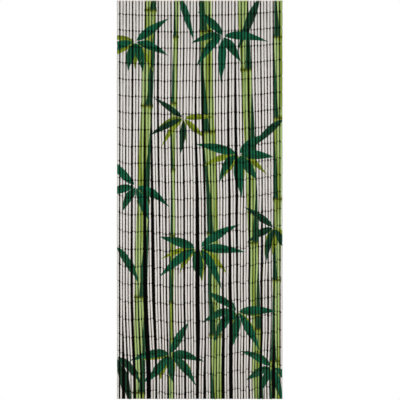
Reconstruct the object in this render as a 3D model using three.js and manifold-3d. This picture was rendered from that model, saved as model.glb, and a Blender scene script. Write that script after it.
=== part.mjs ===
// Bamboo door curtain: strands of short bamboo tubes hang side by side from a slim strip behind their tops.
// Millimetres, +Z up. The origin is the middle of the top edge, and the painted front faces -Y.
import * as THREE from "three";
import { mergeVertices } from "three/addons/utils/BufferGeometryUtils.js";
import Module from "manifold-3d";

// Driving dimensions
const CURTAIN_WIDTH = 900;
const CURTAIN_DROP = 2165;
const HEADING_HEIGHT = 8;
const HEADING_DEPTH = 10;
const HEADING_BACK = 8; // how far the strip's back lies behind the middle of the strands
const STRAND_COUNT = 52;
const TOP_TUBE_DIAMETER = 13.1;
const HEM_TUBE_DIAMETER = 10.5; // the tubes are thinner towards the hem

// Joints: tubes meet end to end, and their rounded shoulders narrow the strand to a neck there.
const TUBES_PER_STRAND = 24;
const FIRST_JOINT = 76; // depth below the top edge
const FIRST_PITCH = 87.4; // from the first joint to the second
const PITCH_GROWTH = 0.244; // times the square of the joint's count: the tubes are longer towards the hem
const SHOULDER_LENGTH = 5;
const NECK_SHARE = 0.58; // of the tube's diameter
const TUBES_PER_NECK = 2; // every second joint has its neck, so that a strand stays a light solid

// The rows of joints bow: each lies lowest a little left of the middle and rises towards both edges.
const TOP_ROW_BOW = 6.5; // how far a row at the top hangs below its mean depth at its lowest
const HEM_ROW_BOW = 16;
const LOWEST_SHARE = 0.4; // of the way from the left edge to the right one
const BOW_REACH = 0.32; // share of the way from there to where the row is at its mean depth

// The first strand hangs alone at the left edge and the others in pairs. The gap after each pair is wider
// than the plain one inside it, and after every second pair it is wider still.
const PAIR_GAP_SHARE = 1.6;
const FOUR_GAP_SHARE = 1.9;

// Handmade unevenness, each the most that one strand or joint strays
const STRAND_DRIFT = 0.006; // share by which a strand's tubes are longer or shorter
const JOINT_STRAY = 1.5; // along the strand
const JOINT_SWAY = 0.5; // sideways
const STRAND_LEAN = 0.6; // sideways from the top to the hem
const STRAND_STAGGER = 1.1; // towards the front or the back
const HEM_STRAY = 2.5; // how much shorter a strand may end

// Partings: the gap after a strand starts to open at one depth, has its full width at another and narrows or
// widens from there to the hem. opens and full are depths, and width and hem are what is added to the gap.
const PARTINGS = [
  { after: 2, opens: 1630, full: 2100, width: 14, hem: 14 },
  { after: 3, opens: 1400, full: 2100, width: 4, hem: 4 },
  { after: 5, opens: 0, full: 600, width: 3, hem: 8 },
  { after: 7, opens: 1400, full: 2100, width: 5, hem: 5 },
  { after: 9, opens: 330, full: 1930, width: 18, hem: 16 },
  { after: 11, opens: 300, full: 1450, width: 13, hem: 5 },
  { after: 13, opens: 0, full: 325, width: 4, hem: 0 },
  { after: 15, opens: 200, full: 1100, width: 3.5, hem: 2 },
  { after: 21, opens: 650, full: 980, width: 4, hem: 5 },
  { after: 25, opens: 55, full: 1710, width: 17, hem: 9 },
  { after: 27, opens: 100, full: 600, width: 6, hem: 2 },
  { after: 27, opens: 1800, full: 2150, width: 7, hem: 7 },
  { after: 33, opens: 1085, full: 2100, width: 11, hem: 11 },
  { after: 35, opens: 0, full: 800, width: 7, hem: 15 },
  { after: 37, opens: 0, full: 800, width: 9, hem: 0 },
  { after: 41, opens: 0, full: 840, width: 5, hem: 2 },
  { after: 45, opens: 1030, full: 1260, width: 6, hem: 5 },
  { after: 47, opens: 1385, full: 1530, width: 5, hem: 1 },
  { after: 49, opens: 1735, full: 2050, width: 12, hem: 10 },
];

// A strand's section has three sides: a ridge at the front and a flat back.
const SECTION_SIDES = 3;
const SECTION_WIDTH = 2 * Math.sin((2 * Math.PI) / SECTION_SIDES);
const SECTION_DEPTH = 1 - Math.cos((2 * Math.PI) / SECTION_SIDES);
const SECTION_MIDDLE = SECTION_DEPTH / 2 - 1;

const wasm = await Module();
wasm.setup();

// A repeatable stray value from -1 to 1 for a strand and one of its joints.
function stray(strand, joint = 0) {
  const wave = Math.sin(strand * 127.1 + joint * 311.7) * 43758.5453;
  return 2 * (wave - Math.floor(wave)) - 1;
}

function ease(share) {
  const t = Math.min(Math.max(share, 0), 1);
  return t * t * (3 - 2 * t);
}

function tubeDiameter(depth) {
  return TOP_TUBE_DIAMETER + ((HEM_TUBE_DIAMETER - TOP_TUBE_DIAMETER) * depth) / CURTAIN_DROP;
}

// What a parting adds to its gap at a depth.
function partingAt({ opens, full, width, hem }, depth) {
  if (depth <= full) return width * ease((depth - opens) / (full - opens));
  return width + (hem - width) * ease((depth - full) / (CURTAIN_DROP - full));
}

// How wide a gap is as a share of a plain one. Gap 0 is after the first strand.
function gapShare(gap) {
  if (gap % 4 === 0) return FOUR_GAP_SHARE;
  return gap % 2 === 0 ? PAIR_GAP_SHARE : 1;
}

// The middle of each strand, left to right, at a depth below the top edge, before it strays.
function strandMiddles(depth) {
  const diameter = tubeDiameter(depth);
  const room = JOINT_SWAY + (STRAND_LEAN * depth) / CURTAIN_DROP;
  const firstMiddle = diameter / 2 + room - CURTAIN_WIDTH / 2;
  const freeWidth = -2 * firstMiddle - (STRAND_COUNT - 1) * diameter;
  const added = new Array(STRAND_COUNT - 1).fill(0);
  for (const parting of PARTINGS) added[parting.after - 1] += partingAt(parting, depth);
  const share = added.map((_, gap) => gapShare(gap));
  const total = (list) => list.reduce((sum, value) => sum + value, 0);
  const plainGap = (freeWidth - total(added)) / total(share);
  const middles = [firstMiddle];
  added.forEach((extra, gap) => {
    middles.push(middles[gap] + diameter + share[gap] * plainGap + extra);
  });
  return middles;
}

// How far a row of joints hangs below its mean depth at one strand.
function rowBow(strand, depth) {
  const across = (strand / (STRAND_COUNT - 1) - LOWEST_SHARE) / BOW_REACH;
  const deepest = TOP_ROW_BOW + ((HEM_ROW_BOW - TOP_ROW_BOW) * depth) / CURTAIN_DROP;
  return deepest * (1 - across * across);
}

// The depth of a joint, where joint 1 is below the first tube.
function jointDepth(strand, joint) {
  const count = joint - 1;
  const depth = FIRST_JOINT + count * FIRST_PITCH + count * count * PITCH_GROWTH;
  const drifted = depth * (1 + STRAND_DRIFT * stray(strand)) + JOINT_STRAY * stray(strand, joint);
  return drifted + rowBow(strand, depth);
}

// One ring of a strand's skin: where its middle is, and how thick the strand is as a share of its tube.
function ringAt(strand, depth, sway = 0, share = 1) {
  const lean = (STRAND_LEAN * stray(strand, -3) * depth) / CURTAIN_DROP;
  return {
    x: strandMiddles(depth)[strand] + lean + JOINT_SWAY * sway,
    y: STRAND_STAGGER * stray(strand, -1),
    z: -depth,
    size: share * tubeDiameter(depth),
  };
}

// The rings of one strand from its top to the hem, with three at each neck.
function strandRings(strand) {
  const rings = [ringAt(strand, 0)];
  for (let joint = TUBES_PER_NECK; joint < TUBES_PER_STRAND; joint += TUBES_PER_NECK) {
    const depth = jointDepth(strand, joint);
    const sway = stray(strand, -joint - 1);
    rings.push(
      ringAt(strand, depth - SHOULDER_LENGTH, sway),
      ringAt(strand, depth, sway, NECK_SHARE),
      ringAt(strand, depth + SHOULDER_LENGTH, sway),
    );
  }
  const hem = CURTAIN_DROP - HEM_STRAY * Math.abs(stray(strand, -2));
  rings.push(ringAt(strand, hem));
  return rings;
}

// A strand is a three-sided column whose rows of points are moved onto its rings.
function strandGeometry(strand) {
  const rings = strandRings(strand);
  const spans = rings.length - 1;
  const column = new THREE.CylinderGeometry(1, 1, spans, SECTION_SIDES, spans);
  column.rotateX(Math.PI / 2);
  const points = column.getAttribute("position");
  for (let p = 0; p < points.count; p += 1) {
    const ring = rings[Math.round(spans / 2 - points.getZ(p))];
    points.setXYZ(
      p,
      ring.x + (points.getX(p) * ring.size) / SECTION_WIDTH,
      ring.y + ((points.getY(p) - SECTION_MIDDLE) * ring.size) / SECTION_DEPTH,
      ring.z,
    );
  }
  return column;
}

function headingGeometry() {
  const heading = new THREE.BoxGeometry(CURTAIN_WIDTH, HEADING_DEPTH, HEADING_HEIGHT);
  return heading.translate(0, HEADING_BACK - HEADING_DEPTH / 2, -HEADING_HEIGHT / 2);
}

function toSolid(geometry) {
  geometry.deleteAttribute("normal");
  geometry.deleteAttribute("uv");
  const merged = mergeVertices(geometry);
  return new wasm.Manifold(
    new wasm.Mesh({
      numProp: 3,
      vertProperties: merged.getAttribute("position").array,
      triVerts: new Uint32Array(merged.index.array),
    }),
  );
}

function toGeometry(solid) {
  const { vertProperties, triVerts } = solid.getMesh();
  const geometry = new THREE.BufferGeometry();
  geometry.setAttribute("position", new THREE.BufferAttribute(vertProperties, 3));
  geometry.setIndex(new THREE.BufferAttribute(triVerts, 1));
  geometry.computeVertexNormals();
  return geometry;
}

// The strands stand apart but for their tops, which are fused to the strip behind them: together one solid.
function bambooStrands() {
  let solid = toSolid(headingGeometry());
  for (let strand = 0; strand < STRAND_COUNT; strand += 1) {
    solid = solid.add(toSolid(strandGeometry(strand)));
  }
  const paintedBamboo = new THREE.MeshStandardMaterial({ color: 0xdcd9cf, roughness: 0.55, metalness: 0 });
  const mesh = new THREE.Mesh(toGeometry(solid), paintedBamboo);
  mesh.name = "bamboo_strands";
  return mesh;
}

const curtain = new THREE.Group();
curtain.name = "bamboo_door_curtain";
curtain.add(bambooStrands());

export default curtain;
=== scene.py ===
# %% [markdown]
# # A bamboo door curtain
# The curtain is a row of strands, and each strand is a row of short bamboo tubes on wire links. The fronts of
# the tubes are painted off-white, with a print of bamboo canes and leaves that runs over the whole curtain.
# The solid model gives the frame: where each strand hangs and how far the curtain reaches. This lesson puts
# the real tubes, links and paint in its place, in metres and in the same frame.

# %% Load the frame
import math

import bmesh
import bpy
import numpy as np
from mathutils import Matrix, Vector


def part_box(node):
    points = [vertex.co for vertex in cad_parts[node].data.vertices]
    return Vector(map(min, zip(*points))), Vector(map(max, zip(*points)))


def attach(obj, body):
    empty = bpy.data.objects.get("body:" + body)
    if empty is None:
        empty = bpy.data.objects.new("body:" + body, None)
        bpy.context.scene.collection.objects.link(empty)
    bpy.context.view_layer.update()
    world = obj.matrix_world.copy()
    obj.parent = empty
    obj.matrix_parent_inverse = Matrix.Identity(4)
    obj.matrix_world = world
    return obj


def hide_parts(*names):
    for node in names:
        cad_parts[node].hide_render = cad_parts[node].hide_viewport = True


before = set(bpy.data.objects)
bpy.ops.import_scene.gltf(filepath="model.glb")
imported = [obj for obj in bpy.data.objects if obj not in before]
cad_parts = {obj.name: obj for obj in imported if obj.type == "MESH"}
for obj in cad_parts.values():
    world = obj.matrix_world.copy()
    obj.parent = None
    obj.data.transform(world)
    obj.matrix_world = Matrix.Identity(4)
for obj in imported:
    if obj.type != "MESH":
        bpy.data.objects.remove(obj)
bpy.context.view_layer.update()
STRANDS_NODE = "bamboo_strands"

# %% [markdown]
# ## Camera
# The curtain is seen face on, and neither edge leans, so there is no perspective to match. An orthographic
# camera gives that view whatever its distance. Its scale is worked out from the share of the picture that
# the curtain fills, and a small shift puts it where it hangs in the frame.

# %% Aim the camera
PICTURE_SIDE = 400
OUTLINE_LEFT, OUTLINE_RIGHT = 116.8, 282.6
OUTLINE_TOP, OUTLINE_HEM = 0.45, 399.3
CAMERA_DISTANCE = 6.0
CAMERA_SEES = 100.0

low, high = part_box(STRANDS_NODE)
middle = (low + high) / 2
metres_per_pixel = (high.z - low.z) / (OUTLINE_HEM - OUTLINE_TOP)
right_of_middle = (OUTLINE_LEFT + OUTLINE_RIGHT - PICTURE_SIDE) / 2
below_middle = (OUTLINE_TOP + OUTLINE_HEM - PICTURE_SIDE) / 2

camera = bpy.data.objects.new("camera", bpy.data.cameras.new("camera"))
bpy.context.scene.collection.objects.link(camera)
camera.data.type = "ORTHO"
camera.data.ortho_scale = PICTURE_SIDE * metres_per_pixel
camera.data.shift_x = -right_of_middle / PICTURE_SIDE
camera.data.shift_y = below_middle / PICTURE_SIDE
camera.location = (middle.x, -CAMERA_DISTANCE, middle.z)
camera.rotation_euler = (math.radians(90), 0, 0)
camera.data.clip_end = CAMERA_SEES
bpy.context.scene.camera = camera
print("camera scale", round(camera.data.ortho_scale, 4), "metres over the picture")

# %% [markdown]
# ## Where the strands hang
# The strands hang in pairs, stray a little and open in partings towards the hem, where the tubes are thinner
# and longer than at the top, and the rows of their joints bow. The solid model works the places out from a
# short table and a repeatable stray value, so the same sums are repeated here with arrays of depths.

# %% Work out the strands' places
STRAND_COUNT = 52
TUBES_PER_STRAND = 24
TOP_TUBE_DIAMETER = 0.0131
HEM_TUBE_DIAMETER = 0.0105
FIRST_JOINT = 0.076
FIRST_PITCH = 0.0874
PITCH_GROWTH = 0.000244
PAIR_GAP_SHARE = 1.6
FOUR_GAP_SHARE = 1.9
STRAND_DRIFT = 0.006
JOINT_STRAY = 0.0015
JOINT_SWAY = 0.0005
STRAND_LEAN = 0.0006
STRAND_STAGGER = 0.0011
HEM_STRAY = 0.0025
TOP_ROW_BOW = 0.0065
HEM_ROW_BOW = 0.016
LOWEST_SHARE = 0.4
BOW_REACH = 0.32
SHORTEST_TUBE = 0.026
CURTAIN_WIDTH = round(high.x - low.x, 3)
CURTAIN_DROP = round(high.z - low.z, 3)

# after which strand, the depths where the parting opens and has its full width, then what it adds to the gap
# there and at the hem
PARTINGS = (
    (2, 1.630, 2.100, 0.0140, 0.0140),
    (3, 1.400, 2.100, 0.0040, 0.0040),
    (5, 0.000, 0.600, 0.0030, 0.0080),
    (7, 1.400, 2.100, 0.0050, 0.0050),
    (9, 0.330, 1.930, 0.0180, 0.0160),
    (11, 0.300, 1.450, 0.0130, 0.0050),
    (13, 0.000, 0.325, 0.0040, 0.0000),
    (15, 0.200, 1.100, 0.0035, 0.0020),
    (21, 0.650, 0.980, 0.0040, 0.0050),
    (25, 0.055, 1.710, 0.0170, 0.0090),
    (27, 0.100, 0.600, 0.0060, 0.0020),
    (27, 1.800, 2.150, 0.0070, 0.0070),
    (33, 1.085, 2.100, 0.0110, 0.0110),
    (35, 0.000, 0.800, 0.0070, 0.0150),
    (37, 0.000, 0.800, 0.0090, 0.0000),
    (41, 0.000, 0.840, 0.0050, 0.0020),
    (45, 1.030, 1.260, 0.0060, 0.0050),
    (47, 1.385, 1.530, 0.0050, 0.0010),
    (49, 1.735, 2.050, 0.0120, 0.0100),
)


def stray(strand, joint=0):
    """A repeatable value from -1 to 1 for strands and joints, as in the solid model."""
    wave = np.sin(np.asarray(strand) * 127.1 + np.asarray(joint) * 311.7) * 43758.5453
    return 2 * (wave - np.floor(wave)) - 1


def ease(share):
    share = np.clip(share, 0, 1)
    return share * share * (3 - 2 * share)


def tube_diameter(depth):
    return TOP_TUBE_DIAMETER + (HEM_TUBE_DIAMETER - TOP_TUBE_DIAMETER) * depth / CURTAIN_DROP


def strand_middles(depth):
    """The x of every strand's middle at these depths: one row of strands for each depth."""
    depth = np.asarray(depth, float).reshape(-1)
    added = np.zeros((len(depth), STRAND_COUNT - 1))
    for after, opens, full, width, hem in PARTINGS:
        opening = width * ease((depth - opens) / (full - opens))
        closing = width + (hem - width) * ease((depth - full) / (CURTAIN_DROP - full))
        added[:, after - 1] += np.where(depth <= full, opening, closing)
    gap = np.arange(STRAND_COUNT - 1)
    share = np.where(gap % 4 == 0, FOUR_GAP_SHARE, np.where(gap % 2 == 0, PAIR_GAP_SHARE, 1))
    diameter = tube_diameter(depth)[:, None]
    room = JOINT_SWAY + STRAND_LEAN * depth[:, None] / CURTAIN_DROP
    first = diameter / 2 + room - CURTAIN_WIDTH / 2
    free = -2 * first - (STRAND_COUNT - 1) * diameter
    plain = (free - added.sum(1, keepdims=True)) / share.sum()
    steps = diameter + share * plain + added
    return np.hstack([first, first + np.cumsum(steps, 1)])


def row_bow(strand, depth):
    """How far a row of joints hangs below its mean depth at a strand."""
    across = (strand / (STRAND_COUNT - 1) - LOWEST_SHARE) / BOW_REACH
    deepest = TOP_ROW_BOW + (HEM_ROW_BOW - TOP_ROW_BOW) * depth / CURTAIN_DROP
    return deepest * (1 - across * across)


def joint_points():
    """The place of every joint, as an array of strands by joints, with the top and the hem at its ends."""
    strand = np.arange(STRAND_COUNT)[:, None]
    joint = np.arange(TUBES_PER_STRAND + 1)[None, :]
    count = joint - 1
    mean = FIRST_JOINT + count * FIRST_PITCH + count * count * PITCH_GROWTH
    depth = mean * (1 + STRAND_DRIFT * stray(strand)) + JOINT_STRAY * stray(strand, joint)
    depth = depth + row_bow(strand, mean)
    depth[:, 0] = 0
    depth[:, -1] = CURTAIN_DROP - HEM_STRAY * np.abs(stray(strand[:, 0], -2))
    depth[:, -2] = np.minimum(depth[:, -2], depth[:, -1] - SHORTEST_TUBE)
    sway = JOINT_SWAY * stray(strand, -joint - 1)
    sway[:, [0, -1]] = 0
    middles = strand_middles(depth).reshape(STRAND_COUNT, TUBES_PER_STRAND + 1, STRAND_COUNT)
    lean = STRAND_LEAN * stray(strand, -3) * depth / CURTAIN_DROP
    x = middles[strand[:, 0], :, strand[:, 0]] + lean + sway
    y = np.broadcast_to(STRAND_STAGGER * stray(strand, -1), x.shape)
    return np.stack([x, y, -depth], -1)


JOINTS = joint_points()

# %% [markdown]
# ## One bamboo tube
# A tube is a length of thin cane, sawn off and tumbled, so its ends have round shoulders and a hollow.
# It is turned from a profile: half of the outline, from the bottom of one hollow over the lip and the
# shoulder to the other end, spun round the axis. The tube is repeated more than a thousand times, so it has
# ten sides, and smooth shading does the rest.

# %% Turn the tube's blank
HAIR = 1e-5
TUBE_SIDES = 10
TUBE_LENGTH = FIRST_PITCH
HOLLOW_DEPTH = 0.009
TUBE_RADIUS = TOP_TUBE_DIAMETER / 2
LIP_RADIUS = 0.0026
# radius and distance from the tube's end
END_PROFILE = (
    (0.0, HOLLOW_DEPTH),
    (LIP_RADIUS, 0.0003),
    (0.0034, 0.0),
    (0.0049, 0.0021),
    (TUBE_RADIUS, 0.0064),
)


def turned(profile, sides):
    """A closed shape spun from (radius, height) points round the Z axis."""
    shape = bmesh.new()
    points = [shape.verts.new((radius, 0, height)) for radius, height in profile]
    edges = [shape.edges.new(pair) for pair in zip(points, points[1:])]
    bmesh.ops.spin(
        shape, geom=points + edges, cent=(0, 0, 0), axis=(0, 0, 1), dvec=(0, 0, 0),
        angle=2 * math.pi, steps=sides, use_merge=True,
    )
    bmesh.ops.remove_doubles(shape, verts=shape.verts, dist=HAIR)
    bmesh.ops.recalc_face_normals(shape, faces=shape.faces)
    return shape


lower_end = [(radius, inset - TUBE_LENGTH / 2) for radius, inset in END_PROFILE]
upper_end = [(radius, TUBE_LENGTH / 2 - inset) for radius, inset in reversed(END_PROFILE)]
tube_blank = turned(lower_end + upper_end, TUBE_SIDES)
print("tube", len(tube_blank.verts), "points", len(tube_blank.faces), "faces")

# %% [markdown]
# ## Many copies as joined meshes
# A thousand separate objects would be slow to draw and to export. The blank's points and faces go into
# arrays once, the arrays are repeated, and each copy's points are moved by array sums. The faces keep the
# blank's order, so a value worked out for one tube's corners serves all of them.

# %% Read a blank into arrays and join copies of it
class Blank:
    """A small mesh as arrays: points, the corners of its faces, and the number of corners of each face."""

    def __init__(self, shape):
        shape.verts.index_update()
        self.points = np.array([point.co for point in shape.verts])
        self.corners = np.array([point.index for face in shape.faces for point in face.verts])
        self.counts = np.array([len(face.verts) for face in shape.faces])
        shape.free()

    def corner_faces(self):
        return np.repeat(np.arange(len(self.counts)), self.counts)


def joined(name, blank, places, sharp_angle):
    """One object of copies of a blank: places holds every copy's points, as copies by points by 3."""
    copies, points = places.shape[:2]
    corners = (np.arange(copies)[:, None] * points + blank.corners).ravel()
    counts = np.tile(blank.counts, copies)
    mesh = bpy.data.meshes.new(name)
    mesh.vertices.add(copies * points)
    mesh.vertices.foreach_set("co", places.ravel())
    mesh.loops.add(len(corners))
    mesh.loops.foreach_set("vertex_index", corners.astype(np.int32))
    mesh.polygons.add(len(counts))
    mesh.polygons.foreach_set("loop_start", (np.cumsum(counts) - counts).astype(np.int32))
    mesh.update(calc_edges=True)
    mesh.shade_smooth()
    mesh.set_sharp_from_angle(angle=math.radians(sharp_angle))
    piece = bpy.data.objects.new(name, mesh)
    bpy.context.scene.collection.objects.link(piece)
    return piece


def carry(piece, name, kind, values):
    """Stores values on the piece's points, for its finish to read."""
    field = "vector" if kind == "FLOAT_VECTOR" else "value"
    attribute = piece.data.attributes.new(name, kind, "POINT")
    attribute.data.foreach_set(field, np.ascontiguousarray(values, np.float32).ravel())


TUBE = Blank(tube_blank)
print("blank", TUBE.points.shape[0], "points", len(TUBE.counts), "faces")

# %% [markdown]
# ## The strands
# Each tube lies straight between two joints. Its shoulders keep their size whatever its length, so a point is
# placed by its distance from the nearer end. At the top and at the hem the tubes are sawn off square. No two
# canes are alike: radius, turn and tone vary a little.
# Four values ride on the points for the paint to read: where the point was in the flat print, its place in
# the cane's own grain, how far it faces the painted front, and the tube's own tone.
# The curtain is split into a few pieces of neighbouring strands. Each has a map with a cell for each tube.

# %% Place the tubes
STRANDS_PER_PIECE = 8
END_GAP = 0.0009
GIRTH_STRAY = 0.03
STRAND_TURN = math.radians(13)
TUBE_TURN = math.radians(9)
GRAIN_APART = 4.0
GRAIN_SEEDS = (7, 17, 27)
BARE = -1.0
TUBE_SHARP_ANGLE = 42
MAP_NAME = "OFBake"
CELL_MARGIN = 0.06


def tube_ends():
    """The top and bottom end of every tube, as arrays of strands by tubes by 3."""
    top = JOINTS[:, :-1].copy()
    bottom = JOINTS[:, 1:].copy()
    top[:, 1:, 2] -= END_GAP / 2
    bottom[:, :-1, 2] += END_GAP / 2
    return top, bottom


def tube_points(strands):
    """The points of the tubes of these strands, with the values that their paint reads."""
    strand, tube = np.meshgrid(strands, np.arange(TUBES_PER_STRAND), indexing="ij")
    strand, tube = strand.ravel()[:, None], tube.ravel()[:, None]
    tops, bottoms = tube_ends()
    top, bottom = tops[strand, tube], bottoms[strand, tube]
    length = top[..., 2] - bottom[..., 2]

    x, y, z = TUBE.points.T
    radius = np.hypot(x, y)
    past_lip = radius > LIP_RADIUS + HAIR
    from_axis = np.maximum(radius, LIP_RADIUS)
    from_end = TUBE_LENGTH / 2 - np.abs(z)
    share = np.where(z > 0, from_end / length, 1 - from_end / length)[..., None]
    spine = top + (bottom - top) * share

    girth = tube_diameter(-(top + bottom)[..., 2] / 2) / TOP_TUBE_DIAMETER
    girth = girth * (1 + GIRTH_STRAY * stray(strand + 60, tube))
    sawn = ((tube == 0) & (z > 0)) | ((tube == TUBES_PER_STRAND - 1) & (z < 0))
    girth = girth * np.where(sawn & past_lip, TUBE_RADIUS / from_axis, 1)
    turn = STRAND_TURN * stray(strand, 70) + TUBE_TURN * stray(strand, tube + 71)
    across = girth * (x * np.cos(turn) - y * np.sin(turn))
    behind = girth * (x * np.sin(turn) + y * np.cos(turn))
    places = spine + np.stack([across, behind, np.zeros_like(across)], -1)

    flat_x = strand_middles(0)[0][strand] + x * girth
    printed = np.stack([flat_x, spine[..., 2], np.zeros_like(flat_x)], -1)
    tone = np.broadcast_to(0.5 + 0.5 * stray(strand + 120, tube), across.shape)
    apart = np.stack([stray(strand + seed, tube) for seed in GRAIN_SEEDS], -1)
    grain = GRAIN_APART * apart + TUBE.points
    front = np.where(past_lip, -y / from_axis, BARE)
    return places, printed, grain, np.broadcast_to(front, across.shape), tone


def tube_map(copies):
    """A map corner for every corner of every tube: each tube is unrolled into a cell of its own."""
    columns = math.ceil(math.sqrt(2 * copies))
    rows = math.ceil(copies / columns)
    angle = np.arctan2(TUBE.points[:, 0], -TUBE.points[:, 1])
    radius = np.hypot(TUBE.points[:, 0], TUBE.points[:, 1])
    outline = np.array(lower_end + upper_end)
    run = np.concatenate([[0], np.cumsum(np.hypot(*np.diff(outline, axis=0).T))])
    nearest = np.abs(TUBE.points[:, None, 2] - outline[:, 1]) + np.abs(radius[:, None] - outline[:, 0])
    along = (run / run[-1])[nearest.argmin(1)]

    face = TUBE.corner_faces()
    on_axis = radius < HAIR
    weight = ~on_axis[TUBE.corners]
    facing = np.zeros((len(TUBE.counts), 2))
    for axis, wave in enumerate((np.sin, np.cos)):
        np.add.at(facing[:, axis], face, wave(angle[TUBE.corners]) * weight)
    face_angle = np.arctan2(facing[:, 0], facing[:, 1])[face]
    off = (angle[TUBE.corners] - face_angle + math.pi) % (2 * math.pi) - math.pi
    around = (face_angle + np.where(weight, off, 0)) / (2 * math.pi) + 0.5

    cell = np.arange(copies)
    inset = CELL_MARGIN + (1 - 2 * CELL_MARGIN) * np.stack([around, along[TUBE.corners]], -1)
    corner = np.stack([cell % columns, cell // columns], -1)[:, None, :] + inset
    return corner / (columns, rows)


strand_pieces = []
for first in range(0, STRAND_COUNT, STRANDS_PER_PIECE):
    strands = np.arange(first, min(first + STRANDS_PER_PIECE, STRAND_COUNT))
    places, printed, grain, front, tone = tube_points(strands)
    piece = joined(f"strands_{strands[0] + 1:02d}_to_{strands[-1] + 1:02d}", TUBE, places, TUBE_SHARP_ANGLE)
    carry(piece, "printed", "FLOAT_VECTOR", printed)
    carry(piece, "grain", "FLOAT_VECTOR", grain)
    carry(piece, "front", "FLOAT", front)
    carry(piece, "tone", "FLOAT", tone)
    cells = piece.data.uv_layers.new(name=MAP_NAME)
    cells.data.foreach_set("uv", tube_map(len(places)).astype(np.float32).ravel())
    strand_pieces.append(piece)
print(len(strand_pieces), "strand pieces,", sum(len(p.data.polygons) for p in strand_pieces), "faces")

# %% [markdown]
# ## Wire links
# At each joint two wire eyes hook into each other, and each is drawn into the hollow of its tube. An eye is a
# thin circle of wire spun round and stretched to an oval. The upper eye stands across the curtain and the
# lower one along it, so that they hang in each other.

# %% Bend the eyes and hang them at the joints
WIRE_RADIUS = 0.0005
EYE_HALF_WIDTH = 0.0013
EYE_HALF_LENGTH = 0.0022
EYE_STEPS = 8
WIRE_SIDES = 4
EYE_SHARP_ANGLE = 80


def wire_eye():
    """An oval eye of wire in the XZ plane."""
    shape = bmesh.new()
    section = bmesh.ops.create_circle(shape, segments=WIRE_SIDES, radius=WIRE_RADIUS)["verts"]
    bmesh.ops.translate(shape, verts=section, vec=(EYE_HALF_WIDTH, 0, 0))
    bmesh.ops.spin(
        shape, geom=section + list(shape.edges), cent=(0, 0, 0), axis=(0, 1, 0), dvec=(0, 0, 0),
        angle=2 * math.pi, steps=EYE_STEPS, use_merge=True,
    )
    bmesh.ops.remove_doubles(shape, verts=shape.verts, dist=1e-6)
    for point in shape.verts:
        if abs(point.co.z) > HAIR:
            point.co.z += math.copysign(EYE_HALF_LENGTH - EYE_HALF_WIDTH, point.co.z)
    bmesh.ops.recalc_face_normals(shape, faces=shape.faces)
    return shape


def linked_eyes():
    """Two eyes hooked into each other at the origin."""
    lift = Vector((0, 0, EYE_HALF_LENGTH - WIRE_RADIUS))
    upper = wire_eye()
    bmesh.ops.translate(upper, verts=upper.verts, vec=lift)
    lower = wire_eye()
    bmesh.ops.rotate(lower, verts=lower.verts, cent=(0, 0, 0), matrix=Matrix.Rotation(math.pi / 2, 3, "Z"))
    bmesh.ops.translate(lower, verts=lower.verts, vec=-lift)
    scratch = bpy.data.meshes.new("lower_eye")
    lower.to_mesh(scratch)
    lower.free()
    upper.from_mesh(scratch)
    bpy.data.meshes.remove(scratch)
    return upper


LINK = Blank(linked_eyes())
link_places = JOINTS[:, 1:-1].reshape(-1, 1, 3) + LINK.points
links = joined("wire_links", LINK, link_places, EYE_SHARP_ANGLE)
link_tone = np.repeat(0.5 + 0.5 * stray(np.arange(len(link_places)), 5), len(LINK.points))
carry(links, "tone", "FLOAT", link_tone)
print("links", len(link_places), "joints,", len(links.data.polygons), "faces")

# %% [markdown]
# ## The heading
# The tops of the strands are let into a slim strip of wood that lies behind them, so from the front it hardly
# shows. It is a planed strip with its edges eased: a cube brought to size, with a small bevel on every edge.

# %% Plane the heading strip
HEADING_HEIGHT = 0.008
HEADING_DEPTH = 0.010
EASED_EDGE = 0.0012
heading_middle = (0, high.y - HEADING_DEPTH / 2, high.z - HEADING_HEIGHT / 2)
heading_shape = bmesh.new()
bmesh.ops.create_cube(heading_shape, size=1)
bmesh.ops.scale(heading_shape, verts=heading_shape.verts, vec=(CURTAIN_WIDTH, HEADING_DEPTH, HEADING_HEIGHT))
bmesh.ops.translate(heading_shape, verts=heading_shape.verts, vec=heading_middle)
bmesh.ops.bevel(
    heading_shape, geom=list(heading_shape.edges), offset=EASED_EDGE, offset_type="OFFSET",
    affect="EDGES", segments=2, profile=0.5, material=-1,
)
heading_mesh = bpy.data.meshes.new("heading_strip")
heading_shape.to_mesh(heading_mesh)
heading_shape.free()
heading = bpy.data.objects.new("heading_strip", heading_mesh)
bpy.context.scene.collection.objects.link(heading)
print("heading", [round(v, 4) for v in heading.dimensions])

# %% [markdown]
# ## Finishes as expressions
# A pattern is a sum over values, so it reads best as a sum. A small class wraps a socket, and its operators
# add Math nodes. Every other node comes from one method, which takes its type, its settings and its inputs.
# A finish is a tree of such sums, and so is a stencil: a group of nodes that serves a finish many times over.

# %% Wrap sockets for shader sums
class Value:
    """An output socket, with arithmetic that adds Math nodes to its tree."""

    def __init__(self, sums, socket):
        self.sums = sums
        self.socket = socket

    def math(self, operation, *others):
        return self.sums.math(operation, self, *others)

    def __add__(self, other):
        return self.math("ADD", other)

    def __sub__(self, other):
        return self.math("SUBTRACT", other)

    def __mul__(self, other):
        return self.math("MULTIPLY", other)

    def __truediv__(self, other):
        return self.math("DIVIDE", other)

    def __pow__(self, other):
        return self.math("POWER", other)

    def __rsub__(self, other):
        return self.sums.math("SUBTRACT", other, self)

    __radd__ = __add__
    __rmul__ = __mul__

    def __abs__(self):
        return self.math("ABSOLUTE")

    def step(self, start, end):
        """0 up to start, 1 from end on, and smooth between. With start above end it falls."""
        limits = {"Value": self, "From Min": start, "From Max": end}
        return self.sums.node("ShaderNodeMapRange", {"interpolation_type": "SMOOTHSTEP"}, limits)

    def held(self, lowest, highest):
        return self.math("MAXIMUM", lowest).math("MINIMUM", highest)


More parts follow.
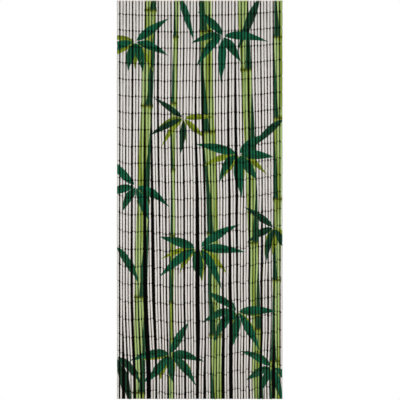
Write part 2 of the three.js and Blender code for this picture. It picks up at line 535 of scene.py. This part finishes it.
class Sums:
    """A tree of nodes that grows with each sum."""

    def feed(self, node, inputs):
        sockets = {socket.name: socket for socket in node.inputs}
        sockets.update({socket.identifier: socket for socket in node.inputs})
        for name, value in inputs.items():
            if isinstance(value, Value):
                self.tree.links.new(value.socket, sockets[name])
            else:
                sockets[name].default_value = value

    def node(self, kind, settings=None, inputs=None, output=0):
        """Any node: its type, its settings, then the values or links of its sockets."""
        made = self.tree.nodes.new(kind)
        for name, value in (settings or {}).items():
            setattr(made, name, value)
        self.feed(made, inputs or {})
        return Value(self, made.outputs[output])

    def math(self, operation, *values):
        names = ("Value", "Value_001")
        return self.node("ShaderNodeMath", {"operation": operation}, dict(zip(names, values)))

    def times(self, vector, factors):
        """A vector or a colour times another, part by part."""
        inputs = {"Vector": vector, "Vector_001": factors}
        return self.node("ShaderNodeVectorMath", {"operation": "MULTIPLY"}, inputs)

    def attribute(self, name, output="Fac"):
        return self.node("ShaderNodeAttribute", {"attribute_name": name}, output=output)

    def split(self, vector):
        """The x, y and z of a vector."""
        parts = self.node("ShaderNodeSeparateXYZ", inputs={"Vector": vector}).socket.node.outputs
        return [Value(self, part) for part in parts]

    def noise(self, vector, scale=1.0, detail=2.0):
        return self.node("ShaderNodeTexNoise", inputs={"Vector": vector, "Scale": scale, "Detail": detail})

    def blend(self, under, over, share):
        """Two colours mixed: under where share is 0 and over where it is 1."""
        inputs = {"Factor_Float": share, "A_Color": under, "B_Color": over}
        return self.node("ShaderNodeMix", {"data_type": "RGBA"}, inputs, output=2)

    def shaded(self, colour, lightness):
        """A colour times a value."""
        grey = self.node("ShaderNodeCombineXYZ", inputs={"X": lightness, "Y": lightness, "Z": lightness})
        return self.times(colour, grey)


class Finish(Sums):
    """A material and its Principled shader."""

    def __init__(self, name, **constants):
        self.material = bpy.data.materials.new(name)
        self.material.use_nodes = True
        self.tree = self.material.node_tree
        self.shader = self.tree.nodes["Principled BSDF"]
        self.feed(self.shader, constants)

    def bump(self, height, strength, distance):
        inputs = {"Height": height, "Strength": strength, "Distance": distance}
        self.feed(self.shader, {"Normal": self.node("ShaderNodeBump", inputs=inputs)})

    def wear_on(self, *pieces):
        for piece in pieces:
            piece.data.materials.append(self.material)


class Stencil(Sums):
    """A group of nodes that takes a picture and lays a motif on it, each time with its own values."""

    def __init__(self, name, **entries):
        self.tree = bpy.data.node_groups.new(name, "ShaderNodeTree")
        for entry, kind in entries.items():
            self.tree.interface.new_socket(entry, in_out="INPUT", socket_type="NodeSocket" + kind)
        self.tree.interface.new_socket("picture", in_out="OUTPUT", socket_type="NodeSocketColor")
        entered = self.tree.nodes.new("NodeGroupInput").outputs
        self.entries = {entry: Value(self, entered[entry]) for entry in entries}

    def hand_on(self, picture):
        self.feed(self.tree.nodes.new("NodeGroupOutput"), {"picture": picture})

    def laid_on(self, finish, **values):
        return finish.node("ShaderNodeGroup", {"node_tree": self.tree}, values)


def colour(red, green, blue):
    """A linear colour from the usual 0 to 255 values."""
    linear = [((v / 255 + 0.055) / 1.055) ** 2.4 if v > 10 else v / 255 / 12.92 for v in (red, green, blue)]
    return (*linear, 1.0)


print("finishes are ready to mix")

# %% [markdown]
# ## The print
# The print is a plain grove of bamboo: a few tall canes that lean a little, with fans of lance leaves over
# them. It was laid on while the strands hung straight, so it is drawn on the flat places that the points
# carry, and it moves with strands that sway. A fan of leaves is one sum: the angle round its middle picks the
# leaf, a random value for each leaf bends and shortens it, its tip droops, and a curve along it gives its
# width. A long leaf is a fan of one. The cane and the fan are each drawn once, as a stencil that takes the
# picture so far and lays its motif on it.

# %% Set out the print
LEAF_GREENS = {
    "teal": (colour(4, 104, 70), colour(8, 88, 54)),
    "dark": (colour(14, 62, 38), colour(10, 76, 48)),
    "olive": (colour(146, 166, 42), colour(118, 138, 30)),
}
CANE_LIGHT = colour(182, 208, 134)
CANE_OLIVE = colour(138, 160, 52)
CANE_DARK = colour(22, 80, 46)
CANE_RING = colour(84, 96, 26)
GROUND = colour(242, 238, 233)

# x at the top edge, lean in degrees, half width, length between rings, where the rings start, and the side
# of the shade
CANES = (
    (-0.125, -1.3, 0.014, 0.36, 0.55, -1),
    (0.235, 2.1, 0.028, 0.47, 0.80, 1),
    (-0.265, -2.0, 0.031, 0.52, 0.10, 1),
    (0.030, 1.5, 0.034, 0.55, 0.30, -1),
    (0.430, -0.6, 0.024, 0.44, 0.45, -1),
)

# x, z, turn in degrees (0 is up), leaves, spread in degrees, reach, half width as a share of reach, green
LEAF_FANS = (
    (-0.350, -0.225, 150, 4, 190, 0.200, 0.085, "olive"),
    (0.205, -0.835, 165, 4, 190, 0.210, 0.085, "olive"),
    (-0.085, -0.640, 180, 5, 230, 0.200, 0.085, "olive"),
    (-0.015, -1.345, 160, 4, 200, 0.215, 0.085, "olive"),
    (0.400, -1.235, 190, 3, 150, 0.210, 0.085, "olive"),
    (0.190, -1.690, 195, 4, 200, 0.215, 0.085, "olive"),
    (-0.175, -1.920, 165, 4, 190, 0.205, 0.085, "olive"),
    (0.330, 0.030, 152, 1, 60, 0.430, 0.056, "dark"),
    (-0.115, 0.040, 190, 1, 60, 0.400, 0.052, "teal"),
    (0.460, -0.640, 128, 1, 60, 0.380, 0.060, "dark"),
    (-0.460, -1.330, 228, 1, 60, 0.390, 0.060, "teal"),
    (-0.455, -1.930, 215, 2, 90, 0.300, 0.075, "dark"),
    (-0.085, -0.640, 120, 3, 170, 0.220, 0.080, "dark"),
    (0.400, -1.235, 130, 4, 200, 0.235, 0.085, "dark"),
    (-0.350, -0.225, 205, 5, 250, 0.255, 0.095, "teal"),
    (0.125, -0.195, 150, 6, 285, 0.260, 0.095, "teal"),
    (0.205, -0.835, 195, 6, 290, 0.270, 0.095, "teal"),
    (-0.345, -1.010, 150, 5, 250, 0.250, 0.095, "teal"),
    (-0.015, -1.345, 195, 6, 290, 0.275, 0.095, "teal"),
    (0.190, -1.690, 155, 6, 280, 0.265, 0.095, "teal"),
    (-0.175, -1.920, 205, 6, 280, 0.265, 0.095, "teal"),
    (0.390, -1.990, 150, 5, 240, 0.240, 0.095, "teal"),
)
RING_REACH = 0.022
RING_SWELLING = 0.12
STREAKS_PER_METRE = (70, 1.6, 1)
WEDGE_TAPER = 1.25
LEAF_STALK = 0.05
LEAF_SOFTNESS = 0.010
LEAF_STRAY = 0.4
LEAF_SHORTENING = 0.40
LEAF_BEND = 0.3
LEAF_DROOP = 0.20
VEIN_SOFTNESS = 0.012
SEEDS_PER_FAN = 20
LEAF_SWELL = 0.75
LEAF_POINT = 1.35
WIDEST_AT = LEAF_SWELL / (LEAF_SWELL + LEAF_POINT)
WIDEST_LEAF = WIDEST_AT ** -LEAF_SWELL * (1 - WIDEST_AT) ** -LEAF_POINT


def placed(stencil, flat, place, turn, size):
    """The flat place as seen from a motif: x across it and y along it."""
    inputs = {"Vector": flat, "Location": place, "Rotation": turn, "Scale": size}
    return stencil.node("ShaderNodeMapping", {"vector_type": "TEXTURE"}, inputs)


def cane_stencil():
    """One cane with rings, streaks and a wedge of shade between each two rings."""
    stencil = Stencil(
        "printed_cane", picture="Color", flat="Vector", place="Vector", turn="Vector", size="Vector",
        between="Float", start="Float", side="Float",
    )
    picture, flat, place, turn, size, between, start, side = stencil.entries.values()
    across, along, _ = stencil.split(placed(stencil, flat, place, turn, size))
    climb = (along / between + start).math("FRACT")
    from_ring = (0.5 - abs(climb - 0.5)) * between
    swelling = from_ring.step(RING_REACH, 0.0)
    edge = abs(across) / (1 + RING_SWELLING * swelling)
    streak = stencil.noise(stencil.times(flat, STREAKS_PER_METRE), detail=3)
    body = stencil.blend(CANE_LIGHT, CANE_OLIVE, (streak + 0.2 * swelling).step(0.46, 0.60))
    shade = (side * across - WEDGE_TAPER * climb + 0.5 * streak).step(0.0, 0.12)
    body = stencil.blend(body, CANE_DARK, shade)
    body = stencil.blend(body, CANE_RING, from_ring.step(0.0060, 0.0030))
    stencil.hand_on(stencil.blend(picture, body, edge.step(1.03, 0.97)))
    return stencil


def leaf_stencil():
    """One fan of leaves, whose tips droop."""
    stencil = Stencil(
        "printed_leaves", picture="Color", flat="Vector", place="Vector", turn="Vector", size="Vector",
        leaves="Float", apart="Float", slim="Float", seed="Float", fresh="Color", deep="Color",
    )
    picture, flat, place, turn, size, leaves, apart, slim, seed, fresh, deep = stencil.entries.values()
    local = placed(stencil, flat, place, turn, size)
    sideways, ahead, _ = stencil.split(local)
    far = stencil.node("ShaderNodeVectorMath", {"operation": "LENGTH"}, {"Vector": local}, output="Value")
    angle = sideways.math("ARCTAN2", ahead)
    leaf = (angle / apart + 0.5 * leaves).math("FLOOR").held(0, leaves - 1)
    chance = stencil.node("ShaderNodeTexWhiteNoise", {"noise_dimensions": "1D"}, {"W": leaf + seed}, "Color")
    lean, short, bend = stencil.split(chance)
    aim = (leaf + (0.5 - LEAF_STRAY / 2) - 0.5 * leaves + LEAF_STRAY * lean) * apart
    off = angle - aim
    along = ((far * off.math("COSINE")) / (1 - LEAF_SHORTENING * short) - LEAF_STALK).held(0, 1)
    _, _, turned_by = stencil.split(turn)
    curve = LEAF_DROOP * (aim - turned_by).math("SINE") + LEAF_BEND * (bend - 0.5)
    across = far * off.math("SINE") - curve * along * along
    half_width = slim * WIDEST_LEAF * along ** LEAF_SWELL * (1 - along) ** LEAF_POINT
    mask = (half_width - abs(across)).step(0, LEAF_SOFTNESS)
    tone = 0.6 * short + 0.4 * across.step(-VEIN_SOFTNESS, VEIN_SOFTNESS)
    blade = stencil.blend(fresh, deep, tone.step(0.3, 0.7))
    stencil.hand_on(stencil.blend(picture, blade, mask))
    return stencil


CANE = cane_stencil()
LEAVES = leaf_stencil()


def printed_colour(finish, flat):
    """The whole print over its pale ground."""
    picture = GROUND
    for x, lean, half_width, between, start, side in CANES:
        picture = CANE.laid_on(
            finish, picture=picture, flat=flat, place=(x, 0, 0), turn=(0, 0, math.radians(lean)),
            size=(half_width, 1, 1), between=between, start=start, side=side,
        )
    for count, (x, z, turn, leaves, spread, reach, slim, green) in enumerate(LEAF_FANS):
        fresh, deep = LEAF_GREENS[green]
        picture = LEAVES.laid_on(
            finish, picture=picture, flat=flat, place=(x, z, 0), turn=(0, 0, math.radians(turn)),
            size=(reach, reach, reach), leaves=leaves, apart=math.radians(spread) / leaves, slim=slim,
            seed=SEEDS_PER_FAN * count, fresh=fresh, deep=deep,
        )
    return picture


print(len(CANES), "canes and", len(LEAF_FANS), "fans of leaves in the print")

# %% [markdown]
# ## Painted bamboo
# The paint reached only the front of the strands, less far round the sides towards the hem, and the green
# inks ran a little further round than the pale ground. The rest is bare cane: tan, with fine fibres along the
# tube. The paint is thin, shows the fibres as faint streaks and is rubbed off in small specks. One finish
# holds both, and a mask from the value that faces the front decides.

# %% Mix the painted bamboo
BAMBOO_PALE = colour(200, 172, 128)
BAMBOO_DEEP = colour(142, 110, 70)
# painted shade for the hollows at the tube ends
HOLLOW_SHADE = colour(66, 48, 30)
PAINT_EDGE_TOP = 0.14
PAINT_EDGE_HEM = 0.50
INK_REACH = 0.35
RAGGED_EDGE = 0.35
PAINT_SOFTNESS = 0.08
FIBRES_PER_METRE = (900, 900, 14)
SPECKS_PER_METRE = (260, 260, 90)

bamboo = Finish("painted_bamboo", **{"Specular IOR Level": 0.2})
flat = bamboo.attribute("printed", "Vector")
grain = bamboo.attribute("grain", "Vector")
front = bamboo.attribute("front")
tone = bamboo.attribute("tone")
fibres = bamboo.noise(bamboo.times(grain, FIBRES_PER_METRE), detail=3)
specks = bamboo.noise(bamboo.times(grain, SPECKS_PER_METRE), detail=2)

bare = bamboo.blend(BAMBOO_PALE, BAMBOO_DEEP, (0.75 * fibres + 0.5 * tone - 0.12).held(0, 1))
# painted shade: the hollow inside each tube end is painted dark brown
bare = bamboo.blend(bare, HOLLOW_SHADE, front.step(-0.98, -1.0))
picture = printed_colour(bamboo, flat)
_, _, blue = bamboo.split(picture)
inked = blue.step(GROUND[2], CANE_LIGHT[2])
paint = bamboo.shaded(picture, 0.9 + 0.12 * fibres + 0.06 * (tone - 0.5))
_, flat_z, _ = bamboo.split(flat)
reach = PAINT_EDGE_TOP + (PAINT_EDGE_TOP - PAINT_EDGE_HEM) * flat_z / CURTAIN_DROP
inside = front + RAGGED_EDGE * (specks - 0.5) - reach
sound = specks.step(0.76, 0.70)
covered = (inside + INK_REACH * inked).step(-PAINT_SOFTNESS, PAINT_SOFTNESS) * sound
bamboo.feed(bamboo.shader, {
    "Base Color": bamboo.blend(bare, paint, covered),
    "Roughness": 0.5 + 0.12 * covered + 0.2 * (fibres - 0.5),
})
skin = inside.step(-PAINT_SOFTNESS, PAINT_SOFTNESS) * sound
bamboo.bump(0.7 * fibres + 0.3 * skin, strength=0.35, distance=0.0003)
bamboo.wear_on(*strand_pieces)
print("painted bamboo has", len(bamboo.tree.nodes), "nodes")

# %% [markdown]
# ## Wire and heading
# The links are dull steel wire, darker where it has tarnished. The heading is plain brown wood, with its
# grain along the strip.

# %% Finish the wire and the heading
STEEL_BRIGHT = colour(150, 146, 138)
STEEL_TARNISHED = colour(74, 66, 56)
TARNISH_PER_METRE = 700
wire = Finish("dull_steel_wire", Metallic=1.0)
wire_place = wire.node("ShaderNodeTexCoord", output="Object")
tarnish = wire.noise(wire_place, scale=TARNISH_PER_METRE, detail=2)
dullness = (tarnish + 0.4 * (wire.attribute("tone") - 0.5)).step(0.35, 0.65)
wire.feed(wire.shader, {
    "Base Color": wire.blend(STEEL_BRIGHT, STEEL_TARNISHED, dullness),
    "Roughness": 0.34 + 0.24 * dullness,
})
wire.wear_on(links)

WOOD_PALE = colour(150, 116, 76)
WOOD_DEEP = colour(96, 68, 42)
WOOD_GRAIN_PER_METRE = (9, 420, 420)
wood = Finish("heading_wood")
wood_place = wood.node("ShaderNodeTexCoord", output="Object")
wood_grain = wood.noise(wood.times(wood_place, WOOD_GRAIN_PER_METRE), detail=4)
wood.feed(wood.shader, {
    "Base Color": wood.blend(WOOD_PALE, WOOD_DEEP, wood_grain.step(0.35, 0.70)),
    "Roughness": 0.5 + 0.2 * wood_grain,
})
wood.bump(wood_grain, strength=0.3, distance=0.0004)
wood.wear_on(heading)
print("wire and heading are finished")

# %% [markdown]
# ## Stage and light
# The surround is white and the light is soft. Two lamps light the front and one the back. The pale floor
# glows a little and throws no light on the curtain. The gaps between the strands read black, as before a dark
# room. That darkness is painted shade: a dark sheet far behind, which seen face on lies just inside the
# curtain's outline.

# %% Set the stage
FLOOR_BELOW_HEM = 0.03
FLOOR_SIDE = 24.0
FLOOR_GLOW = 0.75
FLOOR_SHADE = colour(235, 235, 235)
PAINTED_SHADE = (0.02, 0.02, 0.02, 1.0)
DARK_SHEET_BEHIND = 40.0
DARK_SHEET_INSET = 0.002


def stage_plane(name, width, depth, shade, glow=0.0):
    """A flat stage piece with a plain shade, which may glow a little."""
    shape = bmesh.new()
    bmesh.ops.create_grid(shape, x_segments=1, y_segments=1, size=0.5)
    bmesh.ops.scale(shape, verts=shape.verts, vec=(width, depth, 1))
    mesh = bpy.data.meshes.new(name)
    shape.to_mesh(mesh)
    shape.free()
    plane = bpy.data.objects.new(name, mesh)
    bpy.context.scene.collection.objects.link(plane)
    finish = Finish(name, **{
        "Base Color": shade, "Roughness": 1.0, "Specular IOR Level": 0.0,
        "Emission Color": shade, "Emission Strength": glow,
    })
    finish.wear_on(plane)
    return plane


floor = stage_plane("floor", FLOOR_SIDE, FLOOR_SIDE, FLOOR_SHADE, FLOOR_GLOW)
floor.location.z = low.z - FLOOR_BELOW_HEM
floor.visible_diffuse = False
floor.visible_glossy = False
dark_width = CURTAIN_WIDTH - 2 * DARK_SHEET_INSET
dark_height = CURTAIN_DROP - 2 * DARK_SHEET_INSET
# painted shade: this dark sheet shows only through the gaps, as the dark of the room behind the strands
shade_sheet = stage_plane("shade_sheet", dark_width, dark_height, PAINTED_SHADE)
shade_sheet.location = (middle.x, DARK_SHEET_BEHIND, middle.z)
shade_sheet.rotation_euler = (math.radians(90), 0, 0)

# %% Light the curtain
AROUND_STRENGTH = 0.12
LAMPS = (
    # name, place, side, watts
    ("upper_lamp", (-0.5, -4.4, -0.5), 1.6, 90),
    ("lower_lamp", (0.5, -4.4, -1.8), 1.6, 99),
    ("rear_lamp", (0.0, 4.4, 1.6), 1.6, 150),
)
for name, place, side, watts in LAMPS:
    lamp = bpy.data.objects.new(name, bpy.data.lights.new(name, "AREA"))
    lamp.data.size = side
    lamp.data.energy = watts
    lamp.location = place
    lamp.rotation_euler = (middle - Vector(place)).to_track_quat("-Z", "Y").to_euler()
    bpy.context.scene.collection.objects.link(lamp)

world = bpy.data.worlds.new("white_surround")
world.use_nodes = True
bpy.context.scene.world = world
surround = world.node_tree.nodes["Background"]
surround.inputs["Color"].default_value = (1, 1, 1, 1)
seen = world.node_tree.nodes.new("ShaderNodeLightPath")
strength = world.node_tree.nodes.new("ShaderNodeMapRange")
strength.inputs["To Min"].default_value = AROUND_STRENGTH
world.node_tree.links.new(seen.outputs["Is Camera Ray"], strength.inputs["Value"])
world.node_tree.links.new(strength.outputs["Result"], surround.inputs["Strength"])
bpy.context.scene.view_settings.view_transform = "Standard"
print("lamps", [name for name, *_ in LAMPS])

# %% [markdown]
# ## Hand over
# All pieces hang from the one body of the frame. The strands, their links and the heading stand for the
# solid of the frame, which is then hidden.

# %% Tie the pieces to the frame
for piece in (*strand_pieces, links, heading):
    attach(piece, "root")
    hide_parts(STRANDS_NODE)
